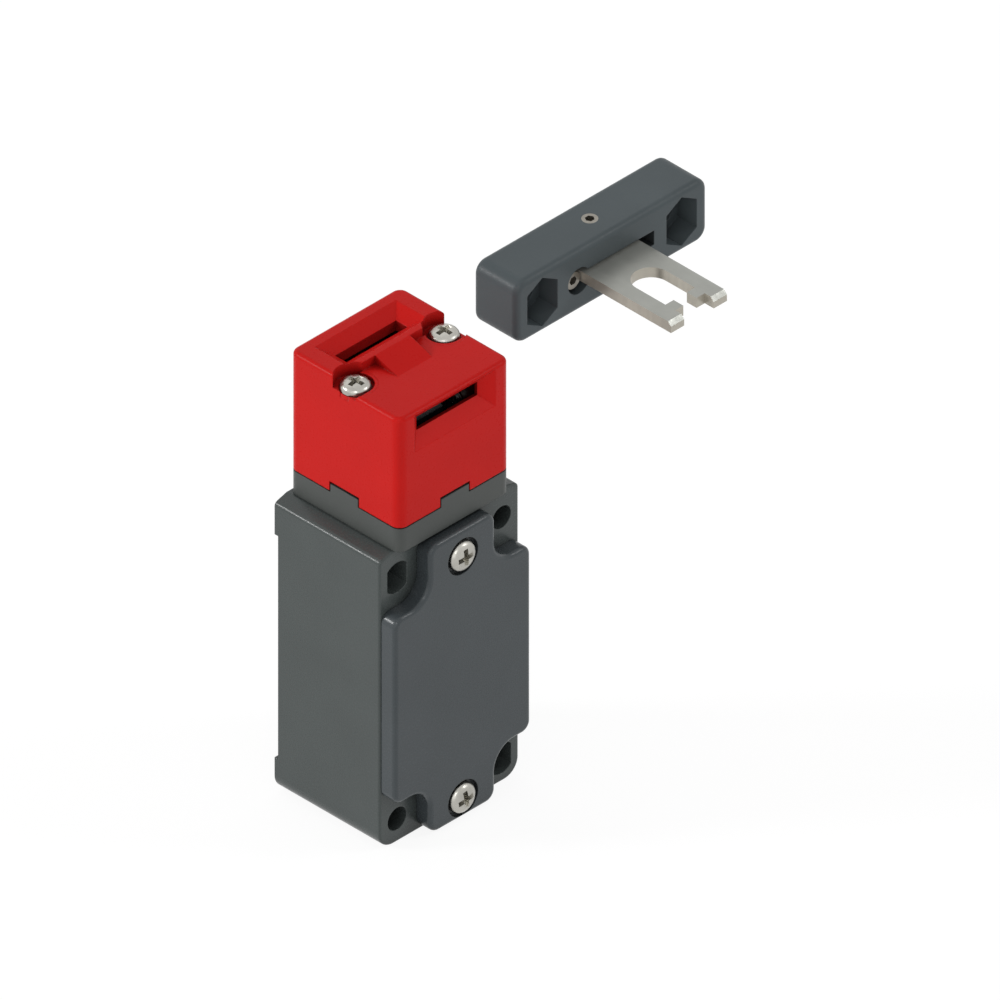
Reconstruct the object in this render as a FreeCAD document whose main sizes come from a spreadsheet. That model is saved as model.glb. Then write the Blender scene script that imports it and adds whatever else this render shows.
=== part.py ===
import FreeCAD, Part
import math
import os
import Sketcher

# Key operated safety switch with its separate tongue actuator, in millimetres.
# Origin: the centre of the four fixing holes on the rear mounting plane.
# X runs across the switch, Y into the wall (the cover faces -Y), Z up.

doc = FreeCAD.newDocument("tongue_interlock_switch")
sheet = doc.addObject("Spreadsheet::Sheet", "Sizes")


class Size:
    """A length that carries its number and the sheet formula it comes from."""

    def __init__(self, number, formula):
        self.number = number
        self.formula = formula

    def _join(self, sign, other, number):
        return Size(number, f"({self.formula} {sign} {as_size(other).formula})")

    def __add__(self, other):
        return self._join("+", other, self.number + as_size(other).number)

    def __sub__(self, other):
        return self._join("-", other, self.number - as_size(other).number)

    def __mul__(self, other):
        return self._join("*", other, self.number * as_size(other).number)

    def __truediv__(self, other):
        return self._join("/", other, self.number / as_size(other).number)

    def __radd__(self, other):
        return as_size(other) + self

    def __rsub__(self, other):
        return as_size(other) - self

    def __rmul__(self, other):
        return as_size(other) * self

    def __neg__(self):
        return Size(-self.number, f"(-1 * {self.formula})")


def as_size(value):
    """A plain number becomes a size whose formula is that number."""
    return value if isinstance(value, Size) else Size(float(value), f"({float(value)!r})")


def cosine(angle):
    angle = as_size(angle)
    return Size(math.cos(math.radians(angle.number)), f"cos({angle.formula})")


def sine(angle):
    angle = as_size(angle)
    return Size(math.sin(math.radians(angle.number)), f"sin({angle.formula})")


def driving(row, name, number):
    """Writes one driving dimension into the sheet and returns it as a size."""
    sheet.set(f"A{row}", name)
    sheet.set(f"B{row}", str(number))
    sheet.setAlias(f"B{row}", name)
    return Size(float(number), f"Sizes.{name}")


names_so_far = set(globals()) | {"names_so_far"}

# Housing, to the standard 40 by 30 mm body with a 30 by 60 mm hole pattern
fix_pitch_x = 30  # fixing holes apart, across
fix_pitch_z = 60  # fixing holes apart, upright
fix_radius = 2.7  # round fixing hole, radius
fix_slot_radius = 3.7  # oblong fixing hole, end radius
fix_slot_half = 2.75  # oblong fixing hole, half width
fix_edge = 5.8  # lower fixing holes above the bottom
case_width = 40  # housing width
case_depth = 30.2  # housing depth to the cover joint
case_tall = 72.8  # housing height
case_bottom_round = 4  # lower corner radius
case_edge_round = 1.1  # small edge radius of the housing
front_edge_round = 0.55  # front edge radius of the housing
shoulder_run = 3.5  # shoulder slope, length
shoulder_drop = 1.0  # shoulder slope, drop
side_wall = 3.4  # housing side wall
rear_wall = 4.0  # housing rear wall
rear_relief = 1.0  # depth of the relief between the rear pads
pad_low = 8.5  # height of the lower rear pad
pad_high = 8.8  # height of the upper rear pad
floor_tall = 14.5  # solid foot round the conduit entry
roof_tall = 15.8  # solid roof under the head
entry_radius = 9.2  # conduit entry M20, minor radius
cavity_round = 2.0  # corner radius of the wiring chamber

# Cover, with a tab between each pair of fixing holes
cover_thick = 4.0  # cover thickness
cover_inset = 0.45  # cover edge inside the housing side
cover_low = 12.8  # wide part of the cover, lower edge
cover_high = 58.9  # wide part of the cover, upper edge
tab_half = 9.4  # half width of the cover tabs
tab_margin = 0.7  # tab end inside the housing end
tab_round = 2.6  # tab corner radius
notch_round = 5.5  # notch round each fixing hole
cover_corner = 2.4  # outer corner of the wide part
cover_edge_round = 1.0  # front edge radius of the cover
cover_skin = 2.4  # cover skin in front of its hollow
cover_screw_low = 5.4  # lower cover screw above the bottom
cover_screw_high = 65.6  # upper cover screw above the bottom
cover_head_radius = 3.5  # cover screw head radius
cover_head_tall = 2.2  # cover screw head height
cover_shank = 1.9  # cover screw shank radius
cover_grip = 4.6  # cover screw thread in the housing
cover_sink_radius = 4.3  # counterbore radius in the cover
cover_sink = 1.2  # counterbore depth in the cover
gasket_wide = 1.2  # gasket strip width
gasket_thick = 0.8  # gasket thickness
gasket_edge = 0.9  # gasket inside the cover edge
cover_lip = 0.6  # lip between the gasket groove and the hollow

# Head and its collar
head_width = 32  # head width
head_depth = 31.8  # head depth
head_back = 0.1  # head rear face in front of the mounting plane
head_corner = 2.2  # upright corner radius of the head
collar_tall = 5.7  # collar height
merlon_wide = 7.9  # key width between collar and head
merlon_tall = 2.0  # key height between collar and head
merlon_deep = 1.4  # key thickness
joint_gap = 0.3  # gap between head and collar
collar_screw_shank = 1.4  # collar screw shank radius
collar_screw_head = 2.6  # collar screw head radius
collar_screw_tall = 1.6  # collar screw head height
collar_screw_bite = 3.6  # collar screw thread in the housing
collar_screw_set = 9.5  # collar screws from the head's middle
collar_web = 3.4  # collar thickness under its screw heads
head_front_tall = 27.1  # head height at the front
head_raise = 2.1  # rear block above the front of the head
head_block = 13.8  # depth of the raised rear block
ramp_half = 5.0  # half width of the ramp between the screws
ramp_run = 6.5  # length of the ramp
head_edge_round = 1.0  # top edge radius of the head
head_roof = 2.5  # head wall over its chamber
head_wall = 3.2  # front and rear wall of the head
chamber_web = 2.7  # chamber wall to the middle of a head screw
slot_half = 8.75  # half width of the tongue slots
slot_tall = 3.3  # height of the tongue slots
slot_reach = 8.2  # tongue centre line from the cam axis
funnel_flare = 2.95  # flare of the slot funnels
funnel_deep = 2.4  # depth of the slot funnels
head_screw_edge = 3.3  # head screws inside the head's side
head_screw_head = 3.25  # head screw, head radius
head_screw_tall = 2.0  # head screw, head height
head_screw_shank = 1.5  # head screw, shank radius
pocket_radius = 4.6  # pocket round each head screw
pocket_deep = 1.1  # pocket depth below the front level
pocket_sink = 1.2  # counterbore depth in the pocket
head_screw_bite = 4.2  # head screw thread in the collar
hole_gap = 0.2  # clearance round a screw

# Cam drive in the head
cam_lift = 3.0  # plunger travel
cam_turn = 60  # cam turn for that travel, in degrees
cam_high = 9.0  # cam radius over the pressed plunger
cam_rim_radius = 9.4  # rim radius of the cam wheel
cam_half = 3.8  # half width of the cam wheel
cam_axis_tall = 13.7  # cam axis above the head's lower face
cam_notch = 3.6  # width of the notches that take the tongue
cam_notch_deep = 3.0  # depth of those notches
cam_notch_lip = 0.35  # rim lowered beside the notches
cam_rise = 26  # turn from the spiral's low end back to the rim, in degrees
hub_radius = 5.4  # cam hub radius
hub_gap = 0.4  # cam hub from the cradle cheek
axle_radius = 2.0  # cam axle radius
run_gap = 0.06  # running clearance of turning and sliding fits
cradle_thick = 1.2  # cradle sheet thickness
cradle_deep = 17  # cradle depth
cradle_rise = 4.2  # cradle cheek above the axle
cradle_round = 3.4  # upper corner radius of the cradle cheeks
touch_gap = 0.3  # clearance between pieces that press together

# Plunger, bush and seal
plunger_tip = 1.2  # plunger tip radius
plunger_stem = 2.0  # plunger stem radius
plunger_foot = 3.5  # plunger foot radius
foot_tall = 3.5  # plunger foot height
shaft_radius = 4.2  # plunger shaft in the housing roof
bush_radius = 4.8  # guide bush radius
bush_tall = 5.6  # guide bush height
seal_tall = 1.2  # plunger seal height
seal_lip = 0.8  # width of the seal's lip

# Contact block in the housing
block_half = 14  # contact block half width
block_tall = 35  # contact block height
block_deep = 17.6  # contact block depth
block_floor = 1.6  # floor under the return spring
block_clear = 1.6  # air above the contact block
block_screw_set = 3.8  # block screws above the block's base
channel_half = 4.3  # half width of the carrier channel
channel_front = 2.0  # wall in front of the carrier channel
channel_deep = 9.0  # depth of the carrier channel
carrier_slack = 1.0  # carrier from the channel walls, front and rear
window_half = 9.6  # half width of the contact windows
window_tall = 7.0  # height of the contact windows
window_low = 12.4  # lower window above the block's base
window_step = 11.0  # upper window above the lower
bridge_thick = 0.8  # moving contact thickness
bridge_wide = 4.0  # moving contact width
bridge_half = 8.6  # moving contact half length
bridge_round = 0.8  # moving contact corner radius
contact_thick = 1.0  # fixed contact thickness
contact_wide = 6.0  # fixed contact width
contact_tab_in = 2.8  # contact tab from its screw, inwards
contact_tab_out = 2.4  # contact tab from its screw, outwards
contact_tip_gap = 1.4  # contact tip from the carrier channel
contact_reach = 7.0  # contact tip behind the block's front
terminal_half = 11.2  # terminal screws from the middle
terminal_head = 2.7  # terminal screw head radius
terminal_shank = 1.4  # terminal screw shank radius
terminal_tall = 1.8  # terminal screw head height
terminal_long = 7.0  # terminal screw length
spring_radius = 2.8  # return spring mean radius
spring_wire = 0.35  # return spring wire radius
spring_turns = 5  # return spring turns
spring_room = 8.0  # return spring length at rest

# Separate actuator: block, swinging tongue and its two screws
key_x = 64.5  # actuator's middle from the switch's middle
key_z = 60.0  # tongue's middle above the origin
key_long = 55  # actuator block length
key_deep = 12.5  # actuator block depth
key_tall = 15.2  # actuator block height
key_corner = 3.0  # actuator corner radius seen from the front
key_edge_round = 1.4  # actuator edge radius
key_pitch = 40  # actuator fixing holes apart
hex_flat_half = 4.35  # hexagon pocket, half width over its flats
hex_side_half = 3.5  # hexagon pocket, half height of its sides
hex_tip_half = 6.0  # hexagon pocket, half height over its tips
hex_deep = 5.5  # hexagon pocket depth
key_hole_radius = 2.65  # actuator fixing slot, half width
key_hole_shift = 1.0  # actuator fixing slot, adjustment each way
tongue_half = 8.05  # tongue half width
tongue_thick = 2.5  # tongue thickness
tongue_long = 25.0  # tongue in front of the block
tongue_neck = 2.8  # full width of the tongue inside the block
tongue_tail = 4.9  # round tail about the swing screw
fork_half = 4.25  # fork opening half width
fork_start = 11.25  # centre of the fork's round end
hook_half = 1.9  # half gap between the hooks
hook_start = 19.6  # hooks from the block
hook_long = 2.8  # hook length
tip_bevel = 0.9  # bevel at the tip of each prong
mouth_gap = 0.5  # clearance over and under the tongue
mouth_right = 12.1  # block mouth, reach on the swing side
mouth_left = 8.6  # block mouth, reach on the stop side
swing_set = 6.4  # swing screw behind the block's front
swing_radius = 1.75  # swing screw radius
swing_floor = 1.4  # block under the swing screw
stop_set = 10.3  # stop screw from the tongue's middle
stop_radius = 2.0  # stop screw radius
stop_long = 8.0  # stop screw length
stop_recess = 0.9  # stop screw behind the block's front
access_radius = 3.1  # access hole over the stop screw
access_set = 9.5  # access hole from the tongue's middle
access_deep = 2.6  # access hole depth
socket_radius = 1.05  # hexagon socket of the set screws
socket_deep = 1.6  # depth of the hexagon sockets

driving_names = [name for name in list(globals()) if name not in names_so_far]
for row, name in enumerate(driving_names, 1):
    globals()[name] = driving(row, name, globals()[name])
doc.recompute()

# Levels and places that several pieces share
head_screw_half = head_width / 2 - head_screw_edge
chamber_half = head_screw_half - chamber_web
cradle_in = chamber_half - cradle_thick - hole_gap
hub_half = cradle_in - hub_gap
bottom = -(fix_pitch_z / 2 + fix_edge)
top = bottom + case_tall
front = -case_depth
head_centre_y = -(head_back + head_depth / 2)
head_rear_y = -head_back
head_front_y = -(head_back + head_depth)
collar_top = top + collar_tall
head_low = collar_top + joint_gap
head_front_top = head_low + head_front_tall
head_top = head_front_top + head_raise
cam_z = head_low + cam_axis_tall
front_slot_z = cam_z + slot_reach
top_slot_y = head_centre_y + slot_reach
chamber_low = bottom + floor_tall
chamber_high = top - roof_tall
block_back = -rear_wall
block_front = block_back - block_deep
block_low = chamber_high - block_tall - block_clear
collar_screw_rows = (head_centre_y - collar_screw_set, head_centre_y + collar_screw_set)
carrier_y = head_centre_y
key_front = -key_deep
key_low = key_z - key_tall / 2
key_high = key_z + key_tall / 2
swing_y = key_front + swing_set

NORMAL_SIGN = {"XY_Plane": 1, "XZ_Plane": -1, "YZ_Plane": 1}
kept = []
CROWN_SHARE = 0.45
RECESS_SHARE = 0.6
RECESS_DEPTH_SHARE = 0.55
RECESS_SLIM_SHARE = 0.3
NOTCH_ANGLES = (45, 135)
SPIRAL_STEPS = 10


def new_body(name):
    """Starts one sub-part; its label names the file it is written to."""
    part = doc.addObject("PartDesign::Body", name)
    part.Label = name
    kept.append(part)
    return part


def attached_sketch(part, role, level):
    """A sketch of this body parallel to one of its own origin planes."""
    sketch = part.newObject("Sketcher::SketchObject", part.Name + "_sketch")
    base = [f for f in part.Origin.OriginFeatures if f.Role == role][0]
    sketch.AttachmentSupport = (base, [""])
    sketch.MapMode = "FlatFace"
    offset = as_size(level) * NORMAL_SIGN[role]
    sketch.setExpression("AttachmentOffset.Base.z", offset.formula)
    return sketch


def pin_point(sketch, index, point, across, up):
    """Ties one point of a sketch to the sheet."""
    for kind, size in (("DistanceX", as_size(across)), ("DistanceY", as_size(up))):
        tie = sketch.addConstraint(Sketcher.Constraint(kind, -1, 1, index, point, size.number))
        sketch.setExpression(f"Constraints[{tie}]", size.formula)


def add_outline(sketch, points):
    """A closed outline of straight lines through points tied to the sheet."""
    first = sketch.GeometryCount
    corners = [FreeCAD.Vector(as_size(a).number, as_size(b).number, 0) for a, b in points]
    for start, end in zip(corners, corners[1:] + corners[:1]):
        sketch.addGeometry(Part.LineSegment(start, end))
    for step, (across, up) in enumerate(points):
        after = first + (step + 1) % len(points)
        sketch.addConstraint(Sketcher.Constraint("Coincident", first + step, 2, after, 1))
        pin_point(sketch, first + step, 1, across, up)


def add_circle(sketch, across, up, radius):
    centre = FreeCAD.Vector(as_size(across).number, as_size(up).number, 0)
    radius = as_size(radius)
    index = sketch.addGeometry(Part.Circle(centre, FreeCAD.Vector(0, 0, 1), radius.number))
    tie = sketch.addConstraint(Sketcher.Constraint("Radius", index, radius.number))
    sketch.setExpression(f"Constraints[{tie}]", radius.formula)
    pin_point(sketch, index, 3, across, up)


def rectangle(low_across, low_up, high_across, high_up):
    return [(low_across, low_up), (high_across, low_up),
            (high_across, high_up), (low_across, high_up)]


def extrude(part, role, level, length, way, outlines=(), circles=(), cut=False):
    """Pads or pockets outlines from a level, way +1 or -1 along the plane's axis."""
    sketch = attached_sketch(part, role, level)
    for points in outlines:
        add_outline(sketch, points)
    for across, up, radius in circles:
        add_circle(sketch, across, up, radius)
    kind = "PartDesign::Pocket" if cut else "PartDesign::Pad"
    feature = part.newObject(kind, part.Name + ("_cut" if cut else "_pad"))
    feature.Profile = (sketch, [""])
    feature.setExpression("Length", as_size(length).formula)
    feature.Reversed = (way == NORMAL_SIGN[role]) if cut else (way != NORMAL_SIGN[role])
    before = part.Shape.Volume if cut and not part.Shape.isNull() else None
    doc.recompute()
    if before is not None and feature.Shape.Volume > before - 1e-6:
        raise RuntimeError(f"{feature.Name} removes nothing")
    return feature


def pad(part, role, level, length, way, outlines=(), circles=()):
    return extrude(part, role, level, length, way, outlines, circles)


def pocket(part, role, level, length, way, outlines=(), circles=()):
    return extrude(part, role, level, length, way, outlines, circles, cut=True)


def round_edges(part, radius, wanted):
    """Fillets the edges of the body's tip that the test picks."""
    shape = part.Tip.Shape
    names = [f"Edge{i + 1}" for i, edge in enumerate(shape.Edges) if wanted(edge)]
    if not names:
        raise RuntimeError(f"{part.Name} has no edge to round")
    base = part.Tip
    fillet = part.newObject("PartDesign::Fillet", part.Name + "_fillet")
    fillet.Base = (base, names)
    fillet.setExpression("Radius", as_size(radius).formula)
    doc.recompute()
    return fillet


def near(value, size):
    return abs(value - as_size(size).number) < 0.02


def runs_along(edge, axis):
    """True for a straight edge parallel to an axis, 0 for X, 1 for Y, 2 for Z."""
    if not isinstance(edge.Curve, Part.Line):
        return False
    return abs(abs(edge.Curve.Direction[axis]) - 1) < 1e-6


def lies_at(edge, axis, level):
    """True where the whole edge lies in the plane at that level."""
    box = edge.BoundBox
    low = (box.XMin, box.YMin, box.ZMin)[axis]
    high = (box.XMax, box.YMax, box.ZMax)[axis]
    return near(low, level) and near(high, level)


def middle(edge):
    return edge.CenterOfMass


def loft_cut(part, role, sections):
    """Cuts a funnel between two outlines at two levels."""
    before = part.Shape.Volume
    sketches = []
    for level, points in sections:
        sketch = attached_sketch(part, role, level)
        add_outline(sketch, points)
        sketches.append(sketch)
    funnel = part.newObject("PartDesign::SubtractiveLoft", part.Name + "_funnel")
    funnel.Profile = (sketches[0], [""])
    funnel.Sections = [(sketches[1], [""])]
    funnel.Ruled = True
    doc.recompute()
    if funnel.Shape.Volume > before - 1e-6:
        raise RuntimeError(f"{funnel.Name} removes nothing")


def place(obj, x, y, z):
    """Puts an object at a point tied to the sheet."""
    for letter, size in zip("xyz", (x, y, z)):
        obj.setExpression(f"Placement.Base.{letter}", as_size(size).formula)


TURN = {"+Z": (FreeCAD.Vector(1, 0, 0), 0), "-Z": (FreeCAD.Vector(1, 0, 0), 180),
        "+X": (FreeCAD.Vector(0, 1, 0), 90), "-X": (FreeCAD.Vector(0, 1, 0), -90),
        "+Y": (FreeCAD.Vector(1, 0, 0), -90), "-Y": (FreeCAD.Vector(1, 0, 0), 90)}


def aim(obj, way):
    axis, angle = TURN[way]
    obj.Placement = FreeCAD.Placement(FreeCAD.Vector(), FreeCAD.Rotation(axis, angle))


def rod(name, radius, length, way, x, y, z):
    """A round bar that starts at a point and runs along an axis."""
    bar = doc.addObject("Part::Cylinder", name)
    bar.setExpression("Radius", as_size(radius).formula)
    bar.setExpression("Height", as_size(length).formula)
    aim(bar, way)
    place(bar, x, y, z)
    return bar


def block(name, low, high):
    """A box between two corners."""
    brick = doc.addObject("Part::Box", name)
    for side, a, b in zip(("Length", "Width", "Height"), low, high):
        brick.setExpression(side, (as_size(b) - a).formula)
    place(brick, *low)
    return brick


def fuse(name, pieces):
    joined = doc.addObject("Part::MultiFuse", name)
    joined.Shapes = pieces
    joined.Refine = True
    return joined


def cut(name, base, tool):
    result = doc.addObject("Part::Cut", name)
    result.Base = base
    result.Tool = tool
    return result


def keep(obj, name):
    obj.Label = name
    kept.append(obj)
    return obj


def group(name, pieces):
    """Identical loose pieces that share one node."""
    bundle = doc.addObject("Part::Compound", name)
    bundle.Links = pieces
    return keep(bundle, name)


def screw(name, way, x, y, z, head_radius, head_tall, shank_radius, long):
    """A pan head screw with a cross recess; the point is under its head, way is its shank's."""
    back = {"+": "-", "-": "+"}[way[0]] + way[1]
    head = rod(name + "_head", head_radius, head_tall, back, x, y, z)
    crown = doc.addObject("Part::Fillet", name + "_crown")
    crown.Base = head
    doc.recompute()
    rim = max(range(len(head.Shape.Edges)),
              key=lambda i: rim_score(head.Shape.Edges[i], way, head.Placement.Base))
    crown_radius = (head_tall * CROWN_SHARE).number
    crown.Edges = [(rim + 1, crown_radius, crown_radius)]
    shank = rod(name + "_shank", shank_radius, long, way, x, y, z)
    whole = fuse(name + "_solid", [crown, shank])
    recess = cross_recess(name, way, x, y, z, head_tall, head_radius * RECESS_SHARE)
    return cut(name, whole, recess)


def rim_score(edge, way, base):
    """How far an edge of a screw head lies from the seat, against the shank's way."""
    if not isinstance(edge.Curve, Part.Circle):
        return -1
    offset = edge.Curve.Center - base
    return abs(offset["XYZ".index(way[1])])


def cross_recess(name, way, x, y, z, head_tall, half):
    """The cross cut in a screw head, as two crossed bars."""
    depth = head_tall * RECESS_DEPTH_SHARE
    narrow = half * RECESS_SLIM_SHARE
    sign = -1 if way[0] == "+" else 1
    centre = [as_size(x), as_size(y), as_size(z)]
    axis = "XYZ".index(way[1])
    across = [i for i in range(3) if i != axis]
    bars = []
    for number, (wide_axis, thin_axis) in enumerate((across, across[::-1])):
        low, high = list(centre), list(centre)
        low[wide_axis], high[wide_axis] = centre[wide_axis] - half, centre[wide_axis] + half
        low[thin_axis], high[thin_axis] = centre[thin_axis] - narrow, centre[thin_axis] + narrow
        inner = centre[axis] + sign * (head_tall - depth)
        outer = centre[axis] + sign * (head_tall + 1)
        low[axis], high[axis] = (inner, outer) if sign > 0 else (outer, inner)
        bars.append(block(f"{name}_bar{number}", low, high))
    return fuse(name + "_cross", bars)


def set_screw(name, way, x, y, z, radius, long):
    """A set screw whose socketed end lies at the point; way is where its body runs."""
    bar = rod(name + "_bar", radius, long, way, x, y, z)
    socket = doc.addObject("Part::Prism", name + "_socket")
    socket.Polygon = 6
    socket.setExpression("Circumradius", socket_radius.formula)
    socket.setExpression("Height", socket_deep.formula)
    aim(socket, way)
    place(socket, x, y, z)
    return keep(cut(name, bar, socket), name)


def build_housing():
    part = new_body("housing")
    half = case_width / 2
    outline = [(-half, bottom), (half, bottom), (half, top - shoulder_drop),
               (half - shoulder_run, top), (shoulder_run - half, top),
               (-half, top - shoulder_drop)]
    pad(part, "XZ_Plane", 0, case_depth, -1, [outline])
    round_edges(part, case_bottom_round,
                lambda e: runs_along(e, 1) and near(middle(e).z, bottom))
    round_edges(part, case_edge_round,
                lambda e: runs_along(e, 1) and near(abs(middle(e).x), half))
    round_edges(part, front_edge_round,
                lambda e: lies_at(e, 1, front) and not near(middle(e).z, top))
    relief = rectangle(-half - 1, bottom + pad_low, half + 1, top - pad_high)
    pocket(part, "XZ_Plane", 0, rear_relief, -1, [relief])
    chamber_half_wide = half - side_wall
    chamber = rectangle(-chamber_half_wide, chamber_low, chamber_half_wide, chamber_high)
    pocket(part, "XZ_Plane", front, case_depth - rear_wall, 1, [chamber])
    round_edges(part, cavity_round,
                lambda e: runs_along(e, 1) and near(abs(middle(e).x), chamber_half_wide))
    pocket(part, "XY_Plane", bottom, floor_tall, 1,
           circles=[(0, front / 2, entry_radius)])
    pocket(part, "XY_Plane", top, roof_tall, -1,
           circles=[(0, head_centre_y, shaft_radius)])
    high_row, low_row = fix_pitch_z / 2, -fix_pitch_z / 2
    column = fix_pitch_x / 2
    pocket(part, "XZ_Plane", 0, case_depth, -1,
           circles=[(column, high_row, fix_radius), (-column, low_row, fix_radius)])
    for x, z in ((-column, high_row), (column, low_row)):
        oblong_hole(part, x, z)
    screw_rows = [(0, bottom + cover_screw_low, cover_shank),
                  (0, bottom + cover_screw_high, cover_shank)]
    pocket(part, "XZ_Plane", front, cover_grip + hole_gap, 1, circles=screw_rows)
    pocket(part, "XY_Plane", top, collar_screw_bite + hole_gap, -1,
           circles=[(0, y, collar_screw_shank) for y in collar_screw_rows])
    return part


def oblong_hole(part, x, z):
    """A fixing hole with round ends and upright flats, for adjustment on site."""
    rise = Size(math.sqrt(fix_slot_radius.number ** 2 - fix_slot_half.number ** 2),
                f"sqrt({fix_slot_radius.formula} ^ 2 - {fix_slot_half.formula} ^ 2)")
    sketch = attached_sketch(part, "XZ_Plane", 0)
    corners = [(x + fix_slot_half, z - rise), (x + fix_slot_half, z + rise),
               (x - fix_slot_half, z + rise), (x - fix_slot_half, z - rise)]
    points = [FreeCAD.Vector(a.number, b.number, 0) for a, b in corners]
    crown = FreeCAD.Vector(as_size(x).number, (z + fix_slot_radius).number, 0)
    foot = FreeCAD.Vector(as_size(x).number, (z - fix_slot_radius).number, 0)
    sketch.addGeometry(Part.LineSegment(points[0], points[1]))
    sketch.addGeometry(Part.Arc(points[1], crown, points[2]))
    sketch.addGeometry(Part.LineSegment(points[2], points[3]))
    sketch.addGeometry(Part.Arc(points[3], foot, points[0]))
    for line, (first, second) in ((0, (0, 1)), (2, (2, 3))):
        pin_point(sketch, line, 1, *corners[first])
        pin_point(sketch, line, 2, *corners[second])
    for arc, start_line, end_line in ((1, 0, 2), (3, 2, 0)):
        sketch.addConstraint(Sketcher.Constraint("Coincident", arc, 1, start_line, 2))
        sketch.addConstraint(Sketcher.Constraint("Coincident", arc, 2, end_line, 1))
        tie = sketch.addConstraint(
            Sketcher.Constraint("Radius", arc, fix_slot_radius.number))
        sketch.setExpression(f"Constraints[{tie}]", fix_slot_radius.formula)
    feature = part.newObject("PartDesign::Pocket", part.Name + "_oblong")
    feature.Profile = (sketch, [""])
    feature.setExpression("Length", case_depth.formula)
    feature.Reversed = True
    before = part.Shape.Volume
    doc.recompute()
    if feature.Shape.Volume > before - 1e-6:
        raise RuntimeError("the oblong hole removes nothing")


def build_cover():
    part = new_body("cover")
    half = case_width / 2 - cover_inset
    low, high = bottom + cover_low, bottom + cover_high
    tab_low, tab_high = bottom + tab_margin, top - tab_margin
    outline = [(-tab_half, tab_low), (tab_half, tab_low), (tab_half, low), (half, low),
               (half, high), (tab_half, high), (tab_half, tab_high), (-tab_half, tab_high),
               (-tab_half, high), (-half, high), (-half, low), (-tab_half, low)]
    pad(part, "XZ_Plane", front, cover_thick, -1, [outline])

    def corner(edge, x, z):
        return runs_along(edge, 1) and near(abs(middle(edge).x), x) and near(middle(edge).z, z)

    round_edges(part, notch_round,
                lambda e: corner(e, tab_half, low) or corner(e, tab_half, high))
    round_edges(part, cover_corner, lambda e: corner(e, half, low) or corner(e, half, high))
    round_edges(part, tab_round,
                lambda e: corner(e, tab_half, tab_low) or corner(e, tab_half, tab_high))
    round_edges(part, cover_edge_round, lambda e: lies_at(e, 1, front - cover_thick))
    rim = gasket_edge + gasket_wide + cover_lip
    inner = half - rim
    inner_low, inner_high = low + rim, high - rim
    pocket(part, "XZ_Plane", front, cover_thick - cover_skin, -1,
           [rectangle(-inner, inner_low, inner, inner_high)])
    pocket(part, "XZ_Plane", front, gasket_thick, -1,
           [gasket_outline(half, low, high, 0), gasket_outline(half, low, high, gasket_wide)])
    rows = (bottom + cover_screw_low, bottom + cover_screw_high)
    pocket(part, "XZ_Plane", front, cover_thick, -1,
           circles=[(0, z, cover_shank + hole_gap) for z in rows])
    pocket(part, "XZ_Plane", front - cover_thick, cover_sink, 1,
           circles=[(0, z, cover_sink_radius) for z in rows])
    return part


def gasket_outline(half, low, high, step):
    """The gasket's outer edge, or its inner edge one strip width further in."""
    edge = gasket_edge + step
    return rectangle(edge - half, low + edge, half - edge, high - edge)


def build_cover_gasket():
    part = new_body("cover_gasket")
    half = case_width / 2 - cover_inset
    low, high = bottom + cover_low, bottom + cover_high
    pad(part, "XZ_Plane", front, gasket_thick, -1,
        [gasket_outline(half, low, high, 0), gasket_outline(half, low, high, gasket_wide)])
    return part


def build_cover_screws():
    seat = front - cover_thick + cover_sink
    long = cover_thick - cover_sink + cover_grip
    rows = {"low": bottom + cover_screw_low, "high": bottom + cover_screw_high}
    group("cover_screws", [
        screw("cover_screw_" + row, "+Y", 0, seat, z, cover_head_radius, cover_head_tall,
              cover_shank, long) for row, z in rows.items()])


def head_plan(inset=0):
    half = head_width / 2 - inset
    return rectangle(-half, head_front_y + inset, half, head_rear_y - inset)


def round_upright_corners(part, radius):
    half = head_width / 2
    round_edges(part, radius, lambda e: runs_along(e, 2) and near(abs(middle(e).x), half)
                and (near(middle(e).y, head_front_y) or near(middle(e).y, head_rear_y)))


def merlon_outlines(slack):
    """The four keys between collar and head, in plan."""
    half, wide = head_width / 2, merlon_wide / 2 + slack
    deep = merlon_deep + slack
    y_low, y_high = head_centre_y - wide, head_centre_y + wide
    return [rectangle(-half, y_low, deep - half, y_high),
            rectangle(half - deep, y_low, half, y_high),
            rectangle(-wide, head_front_y, wide, head_front_y + deep),
            rectangle(-wide, head_rear_y - deep, wide, head_rear_y)]


def build_collar():
    part = new_body("collar")
    pad(part, "XY_Plane", top, collar_tall, 1, [head_plan()])
    round_upright_corners(part, head_corner)
    pad(part, "XY_Plane", collar_top, merlon_tall, 1, merlon_outlines(0))
    pocket(part, "XY_Plane", top, collar_tall, 1,
           circles=[(0, head_centre_y, bush_radius)])
    pocket(part, "XY_Plane", collar_top, head_screw_bite + hole_gap, -1,
           circles=[(side * head_screw_half, head_centre_y, head_screw_shank)
                    for side in (-1, 1)])
    pocket(part, "XY_Plane", top, collar_tall, 1,
           circles=[(0, y, collar_screw_shank + hole_gap) for y in collar_screw_rows])
    pocket(part, "XY_Plane", collar_top, collar_tall - collar_web, -1,
           circles=[(0, y, collar_screw_head + hole_gap) for y in collar_screw_rows])
    return part


def build_collar_screws():
    group("collar_screws", [
        screw(f"collar_screw_{side}", "-Z", 0, y, top + collar_web, collar_screw_head,
              collar_screw_tall, collar_screw_shank, collar_web + collar_screw_bite)
        for side, y in zip(("front", "rear"), collar_screw_rows)])


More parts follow.
